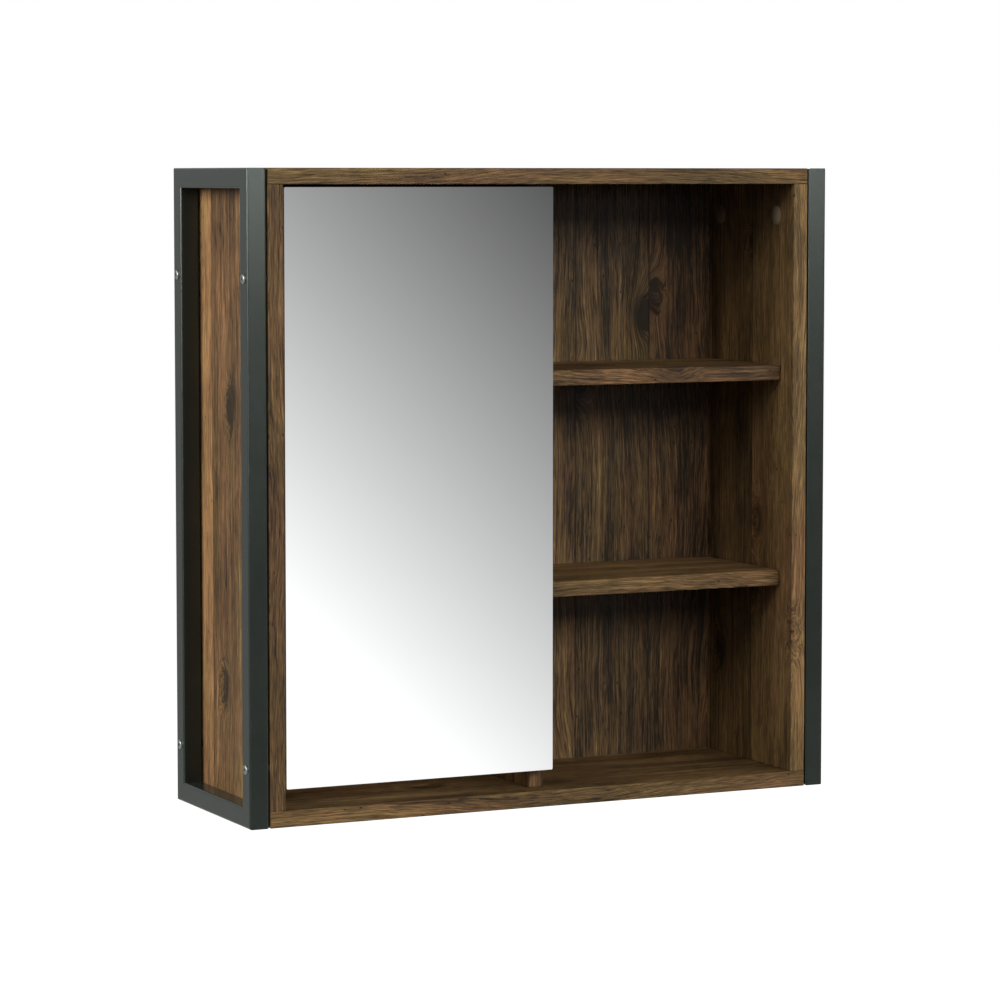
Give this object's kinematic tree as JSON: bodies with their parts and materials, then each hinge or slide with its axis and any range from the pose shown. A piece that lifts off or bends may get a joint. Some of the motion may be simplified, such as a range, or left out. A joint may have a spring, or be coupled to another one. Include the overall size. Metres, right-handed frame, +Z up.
{
  "type": "medicine cabinet with mirror",
  "caption": "Square wall cabinet in dark wood boards between steel side frames, with a hinged frameless mirror door over one half and open shelves in the other.",
  "frame": {"origin": "midway between the two keyhole hanging holes, in the plane of the wall", "axes": "+X to the right of someone facing the cabinet, +Y from the cabinet into the wall, +Z up"},
  "size_m": [0.6436, 0.2, 0.64],
  "materials": {
    "mirror_silver": "silvered glass with a polished front edge",
    "tape_foam": "thin adhesive foam sheet",
    "decor_back": "wood decor on thin fibreboard, vertical grain",
    "decor_upright": "aged dark oak decor on board, vertical grain",
    "decor_level": "aged dark oak decor on board, grain along the width",
    "door_board": "dark oak decor on board, vertical grain",
    "rail_board": "raw particle board",
    "painted_steel": "fine-textured anthracite powder coat",
    "bolt_dark": "black zinc, satin",
    "spacer_black": "black nylon washer",
    "insert_brass": "turned brass",
    "cap_brown": "grey brown moulded cap",
    "zinc_cast": "die-cast zinc",
    "dowel_beech": "beech dowel",
    "bumper_soft": "clear soft polyurethane",
    "screw_zinc": "zinc-plated steel",
    "hinge_nickel": "nickel-plated pressed steel",
    "hanger_zinc": "zinc-plated plate",
    "pin_nickel": "nickel-plated steel pin"
  },
  "bodies": {
    "cabinet": {"back_panel": "decor_back", "bottom_panel": "decor_level", "cam_bolts": "screw_zinc", "cam_locks": "zinc_cast", "centre_divider": "decor_upright", "confirmat_screws": "screw_zinc", "divider_cam_cap_front": "cap_brown", "divider_cam_cap_rear": "cap_brown", "door_bay_lower_shelf": "decor_level", "door_bay_lower_shelf_pins": "pin_nickel", "door_bay_upper_shelf": "decor_level", "door_bay_upper_shelf_pins": "pin_nickel", "door_bumper_lower": "bumper_soft", "door_bumper_upper": "bumper_soft", "hanger_plate_left": "hanger_zinc", "hanger_plate_right": "hanger_zinc", "hanger_screws": "screw_zinc", "hanging_rail": "rail_board", "hinge_arm_lower": "hinge_nickel", "hinge_arm_upper": "hinge_nickel", "hinge_plate_lower": "hinge_nickel", "hinge_plate_screws": "screw_zinc", "hinge_plate_upper": "hinge_nickel", "left_cam_cap_front": "cap_brown", "left_cam_cap_rear": "cap_brown", "left_frame_bolt_lower_front": "bolt_dark", "left_frame_bolt_lower_rear": "bolt_dark", "left_frame_bolt_upper_front": "bolt_dark", "left_frame_bolt_upper_rear": "bolt_dark", "left_frame_inserts": "insert_brass", "left_frame_spacers": "spacer_black", "left_side_panel": "decor_upright", "left_steel_frame": "painted_steel", "open_bay_lower_shelf": "decor_level", "open_bay_lower_shelf_pins": "pin_nickel", "open_bay_upper_shelf": "decor_level", "open_bay_upper_shelf_pins": "pin_nickel", "right_cam_cap_front": "cap_brown", "right_cam_cap_rear": "cap_brown", "right_frame_bolt_lower_front": "bolt_dark", "right_frame_bolt_lower_rear": "bolt_dark", "right_frame_bolt_upper_front": "bolt_dark", "right_frame_bolt_upper_rear": "bolt_dark", "right_frame_inserts": "insert_brass", "right_frame_spacers": "spacer_black", "right_side_panel": "decor_upright", "right_steel_frame": "painted_steel", "top_panel": "decor_level", "wood_dowels": "dowel_beech"},
    "door": {"door_panel": "door_board", "hinge_cup_lower": "hinge_nickel", "hinge_cup_screws_lower": "screw_zinc", "hinge_cup_screws_upper": "screw_zinc", "hinge_cup_upper": "hinge_nickel", "mirror_glass": "mirror_silver", "mirror_tape": "tape_foam"},
    "hinge_links": {"hinge_link_lower": "hinge_nickel", "hinge_link_upper": "hinge_nickel"}
  },
  "joints": [
    {"name": "door_hinge", "type": "hinge", "parent": "cabinet", "child": "door", "pos_m": [-0.281, -0.197, -0.274], "axis": [0, 0, -1], "range_deg": [0, 95]},
    {"name": "link_swing", "type": "hinge", "parent": "cabinet", "child": "hinge_links", "pos_m": [-0.2345, -0.1739, -0.274], "axis": [0, 0, 1], "range_deg": [0, 42.75]}
  ],
  "couplings": [
    {"joint": "link_swing", "follows": "door_hinge", "ratio": 0.45}
  ]
}
